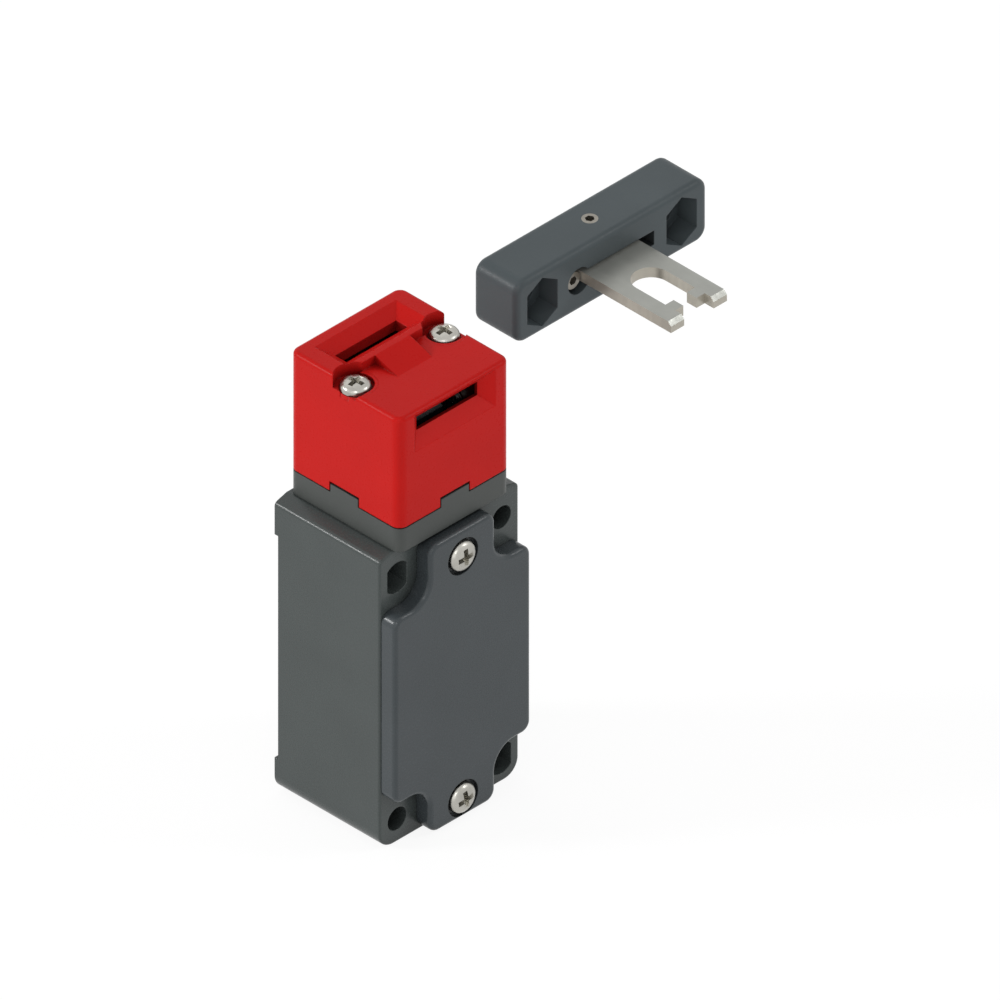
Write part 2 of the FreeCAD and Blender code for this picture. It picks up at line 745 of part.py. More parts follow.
def build_head():
    part = new_body("head")
    half = head_width / 2
    block_edge = head_rear_y - head_block
    pad(part, "XY_Plane", head_low, head_front_tall, 1, [head_plan()])
    pad(part, "XY_Plane", head_front_top, head_raise, 1,
        [rectangle(-half, block_edge, half, head_rear_y)])
    ramp = [(block_edge, head_front_top), (block_edge, head_top),
            (block_edge - ramp_run, head_front_top)]
    pad(part, "YZ_Plane", -ramp_half, ramp_half * 2, 1, [ramp])
    round_upright_corners(part, head_corner)
    round_edges(part, head_edge_round, lambda e: on_rim(e, half, block_edge))
    chamber_front = head_front_y + head_wall
    chamber_rear = head_rear_y - head_wall
    chamber = rectangle(-chamber_half, chamber_front, chamber_half, chamber_rear)
    pocket(part, "XY_Plane", head_low, head_front_tall - head_roof, 1, [chamber])
    pocket(part, "XY_Plane", head_low, merlon_tall + joint_gap, 1,
           merlon_outlines(joint_gap))
    slot_low, slot_high = front_slot_z - slot_tall / 2, front_slot_z + slot_tall / 2
    pocket(part, "XZ_Plane", head_front_y, head_wall, 1,
           [rectangle(-slot_half, slot_low, slot_half, slot_high)])
    mouth = slot_half + funnel_flare
    loft_cut(part, "XZ_Plane", [
        (head_front_y, rectangle(-mouth, slot_low - funnel_flare, mouth,
                                 slot_high + funnel_flare)),
        (head_front_y + funnel_deep, rectangle(-slot_half, slot_low, slot_half, slot_high))])
    slot_front, slot_rear = top_slot_y - slot_tall / 2, top_slot_y + slot_tall / 2
    pocket(part, "XY_Plane", head_top, head_raise + head_roof, -1,
           [rectangle(-slot_half, slot_front, slot_half, slot_rear)])
    loft_cut(part, "XY_Plane", [
        (head_top, rectangle(-mouth, slot_front - funnel_flare, mouth,
                             slot_rear + funnel_flare)),
        (head_top - head_raise, rectangle(-slot_half, slot_front, slot_half, slot_rear))])
    screws = [side * head_screw_half for side in (-1, 1)]
    pocket(part, "XY_Plane", head_low, head_front_tall, 1,
           circles=[(x, head_centre_y, head_screw_shank + hole_gap) for x in screws])
    floor = head_front_top - pocket_deep
    pocket(part, "XY_Plane", head_top, head_raise + pocket_deep, -1,
           circles=[(x, head_centre_y, pocket_radius) for x in screws])
    pocket(part, "XY_Plane", floor, pocket_sink, -1,
           circles=[(x, head_centre_y, head_screw_head + hole_gap) for x in screws])
    return part


def on_rim(edge, half, block_edge):
    """The outer edges of the head's two top levels."""
    if isinstance(edge.Curve, Part.Line) and runs_along(edge, 2):
        return False
    at = middle(edge)
    outer = near(abs(at.x), half) or near(at.y, head_front_y) or near(at.y, head_rear_y)
    corner = isinstance(edge.Curve, Part.Circle)
    if lies_at(edge, 2, head_front_top):
        return (outer or corner) and at.y < block_edge.number - 0.01
    return lies_at(edge, 2, head_top) and (outer or corner)


def build_head_screws():
    seat = head_front_top - pocket_deep - pocket_sink
    long = seat - collar_top + head_screw_bite
    group("head_screws", [
        screw(f"head_screw_{side}", "-Z", sign * head_screw_half, head_centre_y, seat,
              head_screw_head, head_screw_tall, head_screw_shank, long)
        for side, sign in (("left", -1), ("right", 1))])


def build_cradle():
    """The bent sheet carrier that holds the cam axle inside the head."""
    part = new_body("cam_cradle")
    outer = cradle_in + cradle_thick
    rise = cam_z + cradle_rise
    base = collar_top + touch_gap
    profile = [(-outer, base), (outer, base), (outer, rise), (cradle_in, rise),
               (cradle_in, base + cradle_thick), (-cradle_in, base + cradle_thick),
               (-cradle_in, rise), (-outer, rise)]
    pad(part, "XZ_Plane", head_centre_y + cradle_deep / 2, cradle_deep, -1, [profile])
    round_edges(part, cradle_round,
                lambda e: runs_along(e, 0) and near(middle(e).z, rise))
    pocket(part, "YZ_Plane", -outer, outer * 2, 1, circles=[(head_centre_y, cam_z, axle_radius)])
    pocket(part, "XY_Plane", base, cradle_thick, 1,
           circles=[(0, head_centre_y, bush_radius + hole_gap)])
    return part


def build_axle():
    outer = cradle_in + cradle_thick
    keep(rod("cam_axle", axle_radius, outer * 2, "+X", -outer, head_centre_y, cam_z), "cam_axle")


def build_cam():
    """Cam wheel: a rim with two notches for the tongue and a spiral flank for the plunger."""
    part = new_body("drive_cam")
    sketch = attached_sketch(part, "YZ_Plane", -cam_half)
    add_outline(sketch, cam_profile())
    wheel = part.newObject("PartDesign::Pad", "drive_cam_wheel")
    wheel.Profile = (sketch, [""])
    wheel.setExpression("Length", (cam_half * 2).formula)
    doc.recompute()
    pad(part, "YZ_Plane", -hub_half, hub_half * 2, 1, circles=[(head_centre_y, cam_z, hub_radius)])
    pocket(part, "YZ_Plane", -hub_half, hub_half * 2, 1,
           circles=[(head_centre_y, cam_z, axle_radius + run_gap)])
    return part


def cam_profile():
    """The rim by angle: pressed dwell, falling spiral, then the round rim with its notches."""
    points = []
    pressed_angle = -90
    for step in range(-1, SPIRAL_STEPS + 2):
        share = min(max(step / SPIRAL_STEPS, 0), 1)
        angle = pressed_angle + cam_turn * (step / SPIRAL_STEPS)
        points.append(polar(cam_high - cam_lift * share, angle))
    points.append(polar(cam_rim_radius, pressed_angle + cam_turn + cam_rise))
    first_notch, second_notch = NOTCH_ANGLES
    points += notch_corners(first_notch)
    points += [polar(cam_rim_radius, angle) for angle in range(68, 113, 11)]
    points += notch_corners(second_notch)
    points += [polar(cam_rim_radius, angle) for angle in range(156, 232, 15)]
    points.append(polar(cam_high, 360 + pressed_angle - 24))
    return points


def polar(radius, angle):
    return (head_centre_y + radius * cosine(angle), cam_z + radius * sine(angle))


def notch_corners(angle):
    """A notch, square to the radius at that angle: in by one wall and out by the other."""
    mouth, floor = cam_rim_radius - cam_notch_lip, cam_rim_radius - cam_notch_deep
    half = cam_notch / 2
    return [(head_centre_y + radial * cosine(angle) - across * sine(angle),
             cam_z + radial * sine(angle) + across * cosine(angle))
            for radial, across in ((mouth, -half), (floor, -half), (floor, half), (mouth, half))]


def build_plunger():
    part = new_body("plunger")
    tip = cam_z - cam_high - touch_gap
    foot_low = chamber_high + touch_gap
    cone_low = tip - plunger_tip * 2.5
    cone_high = tip - plunger_tip * 1.5
    crown_low = tip - plunger_tip * 0.6
    outline = [(0, foot_low), (plunger_foot, foot_low), (plunger_foot, foot_low + foot_tall),
               (plunger_stem, foot_low + foot_tall), (plunger_stem, cone_low),
               (plunger_tip, cone_high), (plunger_tip, crown_low),
               (plunger_tip * 0.6, tip), (0, tip)]
    revolve_upright(part, outline)


def revolve_upright(part, outline):
    """Turns a half outline about the plunger's axis."""
    sketch = attached_sketch(part, "XZ_Plane", head_centre_y)
    add_outline(sketch, outline)
    turn = part.newObject("PartDesign::Revolution", part.Name + "_turn")
    turn.Profile = (sketch, [""])
    turn.ReferenceAxis = (sketch, ["V_Axis"])
    turn.Angle = 360
    doc.recompute()


def build_bush_and_seal():
    bush_low = collar_top - bush_tall
    bush = new_body("guide_bush")
    inner = plunger_stem + run_gap
    revolve_upright(bush, rectangle(inner, bush_low, bush_radius, collar_top))
    seal = new_body("plunger_seal")
    slack = plunger_stem + run_gap * 2
    seal_low = collar_top
    revolve_upright(seal, [(slack, seal_low), (bush_radius, seal_low),
                           (bush_radius, seal_low + seal_tall * 0.5),
                           (slack + seal_lip, seal_low + seal_tall), (slack, seal_low + seal_tall)])


def build_contact_block():
    part = new_body("contact_block")
    high = block_low + block_tall
    pad(part, "XZ_Plane", block_back, block_deep, -1,
        [rectangle(-block_half, block_low, block_half, high)])
    pocket(part, "XZ_Plane", block_front, channel_front + channel_deep, 1,
           [rectangle(-channel_half, block_low + block_floor, channel_half, high)])
    for step in (0, 1):
        low = block_low + window_low + window_step * step
        pocket(part, "XZ_Plane", block_front, channel_front + channel_deep, 1,
               [rectangle(-window_half, low, window_half, low + window_tall)])
    pocket(part, "XZ_Plane", block_front, terminal_long + hole_gap, 1,
           circles=[(x, z, terminal_shank) for x, z in terminal_places()])
    pocket(part, "XZ_Plane", block_front, block_deep, 1,
           circles=[(x, z, terminal_shank) for x, z in block_screw_places()])
    return part


def contact_level(step):
    """The middle of a contact window."""
    return block_low + window_low + window_step * step + window_tall / 2


def terminal_places():
    return [(side * terminal_half, contact_level(step)) for step in (0, 1) for side in (-1, 1)]


def block_screw_places():
    low = block_low + block_screw_set
    return [(-terminal_half, low), (terminal_half, low)]


def build_contacts():
    """Four fixed contacts: a terminal tab on the front and a tip reaching into a window."""
    pieces = {"lower": [], "upper": []}
    for step, row in enumerate(("lower", "upper")):
        for side in (-1, 1):
            pieces[row].append(fixed_contact(f"fixed_{row}_{side + 1}", step, side))
    group("lower_contacts", pieces["lower"])
    group("upper_contacts", pieces["upper"])


def fixed_contact(name, step, side):
    """An angle of strip: the tab under the terminal screw and the tip in the window."""
    level = contact_level(step)
    tip_z = contact_tip(step)
    outside = block_front - contact_thick
    tab = block(name + "_tab", *sided(
        side, terminal_half - contact_tab_in, terminal_half + contact_tab_out, outside,
        block_front, level - contact_wide / 2, level + contact_wide / 2))
    tip = block(name + "_tip", *sided(
        side, channel_half + contact_tip_gap, window_half - hole_gap, outside,
        block_front + contact_reach, tip_z, tip_z + contact_thick))
    hole = rod(name + "_hole", terminal_shank + hole_gap, contact_thick, "-Y",
               side * terminal_half, block_front, level)
    return cut(name, fuse(name + "_solid", [tab, tip]), hole)


def contact_tip(step):
    """The lower contacts lie under their bridge, the upper ones over theirs."""
    window_base = block_low + window_low + window_step * step
    return window_base if step == 0 else window_base + window_tall - contact_thick


def sided(side, near_x, far_x, low_y, high_y, low_z, high_z):
    """A box on the left (-1) or right (1) as its two corners."""
    if side > 0:
        return (near_x, low_y, low_z), (far_x, high_y, high_z)
    return (-far_x, low_y, low_z), (-near_x, high_y, high_z)


def build_terminal_screws():
    group("terminal_screws", [
        screw(f"terminal_screw_{number}", "+Y", x, block_front - contact_thick, z,
              terminal_head, terminal_tall, terminal_shank, terminal_long + contact_thick)
        for number, (x, z) in enumerate(terminal_places())])
    group("block_screws", [
        screw(f"block_screw_{number}", "+Y", x, block_front, z, terminal_head, terminal_tall,
              terminal_shank, block_deep)
        for number, (x, z) in enumerate(block_screw_places())])


def bridge_level(step):
    """Rest height of a moving contact: the lower one rests closed, the upper one open."""
    if step == 0:
        return contact_tip(0) + contact_thick + run_gap * 2
    return contact_tip(1) - run_gap * 2 - cam_lift - bridge_thick


def build_carrier():
    part = new_body("contact_carrier")
    slim = channel_half - hole_gap
    reach = channel_deep / 2 - carrier_slack
    y = carrier_y
    low = block_low + block_floor + spring_room
    high = chamber_high - cam_lift - touch_gap
    foot = chamber_high + touch_gap - run_gap
    pad(part, "XY_Plane", low, high - low, 1,
        [rectangle(-slim, y - reach, slim, y + reach)])
    pad(part, "XY_Plane", high, foot - high, 1, circles=[(0, y, plunger_foot)])
    for step in (0, 1):
        level = bridge_level(step)
        pocket(part, "YZ_Plane", -slim, slim * 2, 1,
               [rectangle(y - bridge_wide / 2, level, y + bridge_wide / 2,
                          level + bridge_thick)])
    return part


def build_bridges():
    y = carrier_y
    for step, name in enumerate(("lower_bridge", "upper_bridge")):
        part = new_body(name)
        level = bridge_level(step)
        strip = rectangle(-bridge_half, y - bridge_wide / 2, bridge_half, y + bridge_wide / 2)
        pad(part, "XY_Plane", level, bridge_thick, 1, [strip])
        round_edges(part, bridge_round, lambda e: runs_along(e, 2))


def build_return_spring():
    """A helix of round wire under the carrier, squeezed while the tongue is out."""
    seat = block_low + block_floor
    coil = doc.addObject("Part::Helix", "spring_line")
    free = spring_room - spring_wire * 2 - run_gap * 2
    coil.setExpression("Pitch", (free / spring_turns).formula)
    coil.setExpression("Height", free.formula)
    coil.setExpression("Radius", spring_radius.formula)
    wire = doc.addObject("Part::Circle", "spring_section")
    wire.setExpression("Radius", spring_wire.formula)
    aim(wire, "+Y")
    place(wire, spring_radius, 0, 0)
    sweep = doc.addObject("Part::Sweep", "return_spring")
    sweep.Sections = [wire]
    sweep.Spine = (coil, ["Edge1"])
    sweep.Solid = True
    sweep.Frenet = True
    place(sweep, 0, carrier_y, seat + spring_wire + run_gap)
    keep(sweep, "return_spring")


def build_actuator_block():
    part = new_body("actuator_block")
    half = key_long / 2
    pad(part, "XZ_Plane", 0, key_deep, -1,
        [rectangle(key_x - half, key_low, key_x + half, key_high)])
    round_edges(part, key_corner, lambda e: runs_along(e, 1))
    round_edges(part, key_edge_round,
                lambda e: lies_at(e, 1, 0) or lies_at(e, 1, key_front))
    for side in (-1, 1):
        x = key_x + key_pitch / 2 * side
        pocket(part, "XZ_Plane", key_front, hex_deep, 1, [hexagon(x, key_z)])
        slot = rectangle(x - key_hole_radius, key_z - key_hole_shift,
                         x + key_hole_radius, key_z + key_hole_shift)
        pocket(part, "XZ_Plane", key_front, key_deep, 1, [slot])
        for shift in (-1, 1):
            pocket(part, "XZ_Plane", key_front, key_deep, 1,
                   circles=[(x, key_z + key_hole_shift * shift, key_hole_radius)])
    mouth_low = key_z - tongue_thick / 2 - mouth_gap
    mouth_tall = tongue_thick + mouth_gap * 2
    pocket(part, "XY_Plane", mouth_low, mouth_tall, 1,
           [rectangle(key_x - mouth_left, key_front, key_x + mouth_right, swing_y)])
    pocket(part, "XY_Plane", mouth_low, mouth_tall, 1,
           circles=[(key_x, swing_y, tongue_tail + hole_gap)])
    pocket(part, "XZ_Plane", key_front, access_deep, 1,
           circles=[(key_x - access_set, key_z, access_radius)])
    pocket(part, "XZ_Plane", key_front, stop_recess + stop_long + hole_gap, 1,
           circles=[(key_x - stop_set, key_z, stop_radius)])
    pocket(part, "XY_Plane", key_high, key_tall - swing_floor, -1,
           circles=[(key_x, swing_y, swing_radius)])
    return part


def hexagon(x, z):
    """A hexagon stretched upright, so that a bolt head can be shifted in it."""
    return [(x - hex_flat_half, z - hex_side_half), (x, z - hex_tip_half),
            (x + hex_flat_half, z - hex_side_half), (x + hex_flat_half, z + hex_side_half),
            (x, z + hex_tip_half), (x - hex_flat_half, z + hex_side_half)]


def build_tongue():
    """Steel fork with two hooks; it swings about the upright screw in the block."""
    part = new_body("tongue")
    low = key_z - tongue_thick / 2
    tip = key_front - tongue_long
    neck = key_front + tongue_neck
    hook_near = key_front - hook_start
    hook_far = hook_near - hook_long
    left, right = key_x - tongue_half, key_x + tongue_half
    outline = [(left, tip), (key_x - fork_half, tip), (key_x - fork_half, hook_far),
               (key_x - hook_half, hook_far), (key_x - hook_half, hook_near),
               (key_x - fork_half, hook_near), (key_x - fork_half, key_front - fork_start),
               (key_x + fork_half, key_front - fork_start), (key_x + fork_half, hook_near),
               (key_x + hook_half, hook_near), (key_x + hook_half, hook_far),
               (key_x + fork_half, hook_far), (key_x + fork_half, tip), (right, tip),
               (right, neck), (left, neck)]
    pad(part, "XY_Plane", low, tongue_thick, 1, [outline])
    pad(part, "XY_Plane", low, tongue_thick, 1, circles=[(key_x, swing_y, tongue_tail)])
    pocket(part, "XY_Plane", low, tongue_thick, 1,
           circles=[(key_x, key_front - fork_start, fork_half)])
    pocket(part, "XY_Plane", low, tongue_thick, 1,
           circles=[(key_x, swing_y, swing_radius + run_gap)])
    high = key_z + tongue_thick / 2
    pocket(part, "YZ_Plane", left, tongue_half * 2, 1,
           [[(tip, high), (tip + tip_bevel, high), (tip, high - tip_bevel)]])
    return part


def build_key_screws():
    set_screw("swing_screw", "-Z", key_x, swing_y, key_high, swing_radius,
              key_tall - swing_floor - hole_gap)
    set_screw("stop_screw", "+Y", key_x - stop_set, key_front + stop_recess, key_z,
              stop_radius, stop_long)


def check_and_write():
    """Every object is sound before any file is written."""
    doc.recompute()
    for obj in doc.Objects:
        if "Invalid" in obj.State or "Error" in obj.State:
            raise RuntimeError(f"{obj.Name} failed: {obj.State}")
    for obj in kept:
        shape = obj.Shape
        if shape.isNull() or not shape.isValid() or not shape.Solids:
            raise RuntimeError(f"{obj.Label} has no sound solid")
    os.makedirs("parts", exist_ok=True)
    for obj in kept:
        obj.Shape.exportStep(f"parts/{obj.Label}.step")
        box = obj.Shape.BoundBox
        print(f"{obj.Label:18} solids {len(obj.Shape.Solids)} volume {obj.Shape.Volume:9.1f}"
              f" x {box.XMin:7.2f} {box.XMax:7.2f} y {box.YMin:7.2f} {box.YMax:7.2f}"
              f" z {box.ZMin:7.2f} {box.ZMax:7.2f}")


build_housing()
build_cover()
build_cover_gasket()
build_cover_screws()
build_collar()
build_collar_screws()
build_head()
build_head_screws()
build_cradle()
build_axle()
build_cam()
build_plunger()
build_bush_and_seal()
build_contact_block()
build_contacts()
build_terminal_screws()
build_carrier()
build_bridges()
build_return_spring()
build_actuator_block()
build_tongue()
build_key_screws()
check_and_write()
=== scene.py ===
# %% [markdown]
# # A key operated safety switch
# A grey limit switch body stands upright, with a red head on top. Its steel tongue
# comes with a separate grey block. This lesson dresses the measured model: every
# node gets a finish made of nodes, and the screws, their pockets and the conduit
# thread get real shapes.

# %% Load the measured model
import math
import bmesh
import bpy
from mathutils import Matrix, Vector


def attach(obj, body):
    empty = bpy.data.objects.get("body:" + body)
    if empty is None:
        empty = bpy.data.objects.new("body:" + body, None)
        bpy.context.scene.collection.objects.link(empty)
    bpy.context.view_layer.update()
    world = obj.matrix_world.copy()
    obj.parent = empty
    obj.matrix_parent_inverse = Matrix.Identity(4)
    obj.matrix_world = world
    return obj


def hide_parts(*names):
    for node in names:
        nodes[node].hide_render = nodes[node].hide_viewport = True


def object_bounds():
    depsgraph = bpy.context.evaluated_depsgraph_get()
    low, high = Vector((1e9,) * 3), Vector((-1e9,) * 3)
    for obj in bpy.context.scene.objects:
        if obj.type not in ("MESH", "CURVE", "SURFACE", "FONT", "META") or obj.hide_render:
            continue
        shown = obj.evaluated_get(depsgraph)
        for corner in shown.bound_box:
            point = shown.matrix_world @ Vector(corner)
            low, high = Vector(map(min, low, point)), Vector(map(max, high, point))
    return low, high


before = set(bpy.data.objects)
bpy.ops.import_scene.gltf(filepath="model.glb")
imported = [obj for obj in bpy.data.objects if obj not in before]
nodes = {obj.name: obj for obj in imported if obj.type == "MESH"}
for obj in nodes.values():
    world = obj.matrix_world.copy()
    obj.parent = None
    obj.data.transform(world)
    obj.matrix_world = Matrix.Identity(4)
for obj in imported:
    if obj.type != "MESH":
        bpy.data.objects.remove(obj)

MM = 0.001
cad_low, cad_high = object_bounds()
print("nodes", len(nodes), "size in mm", [round(v / MM, 1) for v in cad_high - cad_low])

# %% [markdown]
# ## Camera
# The picture of the real switch has no vanishing points: upright edges stay upright
# and both level directions fall at 30 degrees. That is an isometric view, so the
# camera is orthographic and looks along the diagonal of a cube. Its scale comes
# from the 40 mm width of the body.

# %% Place the camera
picture_width = 203.25  # mm from side to side of the picture
picture_middle = Vector((31.3, -13.5, 17.8))  # mm, what the camera looks at
stand_off = 0.8  # m from there to the camera
sight = 5  # m that the camera sees

camera_data = bpy.data.cameras.new("catalogue_camera")
camera_data.type = "ORTHO"
camera_data.ortho_scale = picture_width * MM
camera_data.clip_end = sight
camera = bpy.data.objects.new("catalogue_camera", camera_data)
bpy.context.scene.collection.objects.link(camera)
toward_camera = Vector((-1, -1, 1)).normalized()
camera.location = picture_middle * MM + toward_camera * stand_off
camera.rotation_mode = "QUATERNION"
camera.rotation_quaternion = (-toward_camera).to_track_quat("-Z", "Y")
bpy.context.scene.camera = camera
bpy.context.scene.view_settings.view_transform = "Standard"
print("camera sees", round(picture_width), "mm across")

# %% [markdown]
# ## Floor and light
# A catalogue picture is cut out on white. The floor is white paper, and four fifths
# of what the camera sees of it is a plain glow, so it stays white and still takes a
# soft shadow. Two short helpers keep the node code readable: one adds a node with
# its values, the other does one step of arithmetic.

# %% Add nodes in few words
def node_of(tree, kind, **values):
    """Adds a node and sets the values of its inputs by name."""
    node = tree.nodes.new(kind)
    for name, value in values.items():
        node.inputs[name.replace("_", " ")].default_value = value
    return node


def calculated(tree, operation, first, second=None):
    """One step of arithmetic on a socket and another socket or a plain number."""
    step = tree.nodes.new("ShaderNodeMath")
    step.operation = operation
    tree.links.new(first, step.inputs[0])
    if isinstance(second, bpy.types.NodeSocket):
        tree.links.new(second, step.inputs[1])
    elif second is not None:
        step.inputs[1].default_value = second
    return step.outputs[0]


def seen_directly(tree):
    """1 for camera, mirror and glass rays, which should see the plain background."""
    path = tree.nodes.new("ShaderNodeLightPath").outputs
    either = calculated(tree, "MAXIMUM", path["Is Camera Ray"], path["Is Glossy Ray"])
    return calculated(tree, "MAXIMUM", either, path["Is Transmission Ray"])


print("node helpers ready")

# %% Lay the floor
paper_white = (0.93, 0.93, 0.93, 1)
glow_strength = 1.1
glow_share = 0.8
floor_half = 4  # m
floor_gap = 0.0002  # m under the foot of the switch

paper = bpy.data.materials.new("white_paper")
paper.use_nodes = True
tree = paper.node_tree
tree.nodes.clear()
out = tree.nodes.new("ShaderNodeOutputMaterial")
sheet = node_of(tree, "ShaderNodeBsdfDiffuse", Color=paper_white)
glow = node_of(tree, "ShaderNodeEmission", Color=(1, 1, 1, 1), Strength=glow_strength)
mix = tree.nodes.new("ShaderNodeMixShader")
share = calculated(tree, "MULTIPLY", seen_directly(tree), glow_share)
tree.links.new(share, mix.inputs[0])
tree.links.new(sheet.outputs[0], mix.inputs[1])
tree.links.new(glow.outputs[0], mix.inputs[2])
tree.links.new(mix.outputs[0], out.inputs["Surface"])

floor_mesh = bmesh.new()
bmesh.ops.create_grid(floor_mesh, x_segments=1, y_segments=1, size=floor_half)
bmesh.ops.translate(floor_mesh, verts=floor_mesh.verts, vec=(0, 0, cad_low.z - floor_gap))
floor_data = bpy.data.meshes.new("paper_floor")
floor_mesh.to_mesh(floor_data)
floor_mesh.free()
floor = bpy.data.objects.new("paper_floor", floor_data)
floor_data.materials.append(paper)
bpy.context.scene.collection.objects.link(floor)
print("floor at", round(cad_low.z / MM, 1), "mm")

# %% [markdown]
# ## Sky and suns
# The sky gives an even, low level, and looks white only where it is seen directly.
# Three narrow suns are the windows of the studio. Each stands where the mirror
# direction of some rounded edges points: the left one makes the edges between the
# left side and the top shine, the right one those between the front and the top,
# and the third one the corners. The left one is the strongest, so the left side is
# the brightest. Two broad suns fill the shaded sides.

# %% Light the set
sky_level, sky_white = 0.40, 1.0
world = bpy.data.worlds.new("soft_room")
bpy.context.scene.world = world
world.use_nodes = True
tree = world.node_tree
tree.nodes.clear()
out = tree.nodes.new("ShaderNodeOutputWorld")
level = node_of(tree, "ShaderNodeMapRange", To_Min=sky_level, To_Max=sky_white)
sky = node_of(tree, "ShaderNodeBackground", Color=(1, 1, 1, 1))
tree.links.new(seen_directly(tree), level.inputs["Value"])
tree.links.new(level.outputs[0], sky.inputs["Strength"])
tree.links.new(sky.outputs[0], out.inputs["Surface"])


def add_sun(name, strength, spread, toward):
    """A sun as wide as its spread in degrees, in the direction given."""
    lamp = bpy.data.lights.new(name, "SUN")
    lamp.energy = strength
    lamp.angle = math.radians(spread)
    sun = bpy.data.objects.new(name, lamp)
    sun.rotation_mode = "QUATERNION"
    sun.rotation_quaternion = Vector(toward).normalized().to_track_quat("Z", "Y")
    bpy.context.scene.collection.objects.link(sun)
    print(name, strength)


add_sun("left_window", 1.2, 14, (-0.72, 0.58, 0.39))
add_sun("right_window", 0.45, 15, (1, -1, 1))
add_sun("corner_window", 0.32, 12, (-1, -1, 1))
add_sun("front_fill", 0.45, 60, (-1, -0.6, 0.2))
add_sun("rear_fill", 0.15, 60, (0.4, 1, 0.8))

# %% [markdown]
# ## Colour and noise
# No surface has one even value. Every finish mixes two shades of its colour, or two
# values of its roughness, by a noise on the object's own coordinates. The noise
# keeps near its middle, so only the span from 0.3 to 0.7 of it is used.

# %% Mix colours by noise
noise_low, noise_high = 0.3, 0.7


def srgb(red, green, blue):
    """A colour as on screen, 0 to 255, as the linear colour that shaders use."""
    def linear(value):
        share = value / 255
        return share / 12.92 if share <= 0.04045 else ((share + 0.055) / 1.055) ** 2.4
    return (linear(red), linear(green), linear(blue), 1)


def shaded(colour, factor):
    """A lighter or darker shade of a colour."""
    return tuple(min(1, channel * factor) for channel in colour[:3]) + (1,)


def noise(tree, vector, scale, detail=3):
    """Noise with about this many patches per metre."""
    texture = node_of(tree, "ShaderNodeTexNoise", Scale=scale, Detail=detail)
    tree.links.new(vector, texture.inputs["Vector"])
    return texture.outputs["Fac"]


def between(tree, factor, low, high):
    """A number that runs from low to high with a noise."""
    span = node_of(tree, "ShaderNodeMapRange", From_Min=noise_low, From_Max=noise_high,
                   To_Min=low, To_Max=high)
    tree.links.new(factor, span.inputs["Value"])
    return span.outputs[0]


def colour_between(tree, factor, first, second):
    """A colour that runs from the first to the second with a noise."""
    ramp = tree.nodes.new("ShaderNodeValToRGB")
    ends = ramp.color_ramp.elements
    for end, position, colour in zip(ends, (noise_low, noise_high), (first, second)):
        end.position = position
        end.color = colour
    tree.links.new(factor, ramp.inputs["Fac"])
    return ramp.outputs["Color"]


def two_shades(tree, factor, colour, darker, lighter):
    """Two shades of one colour, mixed by a noise."""
    return colour_between(tree, factor, shaded(colour, darker), shaded(colour, lighter))


print("body grey is", [round(channel, 3) for channel in srgb(72, 78, 77)[:3]])

# %% [markdown]
# ## Edges and corners
# A moulded edge is never knife sharp: it is rounded by a fraction of a millimetre,
# and that is what catches the light. A bevel node bends the normal there and leaves
# the measured shape alone. Shade is painted into corners and holes: an occlusion
# node darkens the colour where little of the sky reaches them.

# %% Round the edges and paint shade into the corners
edge_samples, corner_samples = 4, 6
closed_share, open_share = 0.15, 0.75  # sky seen where the painted shade is darkest, and where none is painted


def new_finish(name):
    """A material with its shader and the object's own coordinates."""
    material = bpy.data.materials.new(name)
    material.use_nodes = True
    tree = material.node_tree
    shader = tree.nodes["Principled BSDF"]
    place = tree.nodes.new("ShaderNodeTexCoord").outputs["Object"]
    return material, tree, shader, place


def bump(tree, height, strength, depth, normal=None):
    """A normal bent by a height in metres, on top of another normal if one is given."""
    node = node_of(tree, "ShaderNodeBump", Strength=strength, Distance=depth)
    tree.links.new(height, node.inputs["Height"])
    if normal is not None:
        tree.links.new(normal, node.inputs["Normal"])
    return node.outputs["Normal"]


def soft_edges(tree, radius):
    """A normal that rounds sharp edges by a radius in millimetres."""
    node = node_of(tree, "ShaderNodeBevel", Radius=radius * MM)
    node.samples = edge_samples
    return node.outputs["Normal"]


def with_painted_corner_shade(tree, tint, reach, darkest):
    """Paints shade into a colour in holes and corners, where little of the sky reaches."""
    sky_seen = node_of(tree, "ShaderNodeAmbientOcclusion", Distance=reach * MM)
    sky_seen.samples = corner_samples
    span = node_of(tree, "ShaderNodeMapRange", From_Min=closed_share, From_Max=open_share,
                   To_Min=darkest)
    tree.links.new(sky_seen.outputs["AO"], span.inputs["Value"])
    scale = tree.nodes.new("ShaderNodeVectorMath")
    scale.operation = "SCALE"
    tree.links.new(tint, scale.inputs[0])
    tree.links.new(span.outputs[0], scale.inputs["Scale"])
    return scale.outputs[0]


print("rays per point:", edge_samples, "for edges,", corner_samples, "for corners")

# %% [markdown]
# ## Hidden faces
# The head is one measured node, but its chamber and the walls of its slots and of
# the actuator's mouth get little light, so shade is painted on them as a darker
# colour. A mask finds those faces by their place: it is 1 inside a box and 0 outside.

# %% Mask the hidden faces
FIRST_COLOUR, SECOND_COLOUR, MIXED_COLOUR = 6, 7, 2  # a Mix node's colour sockets


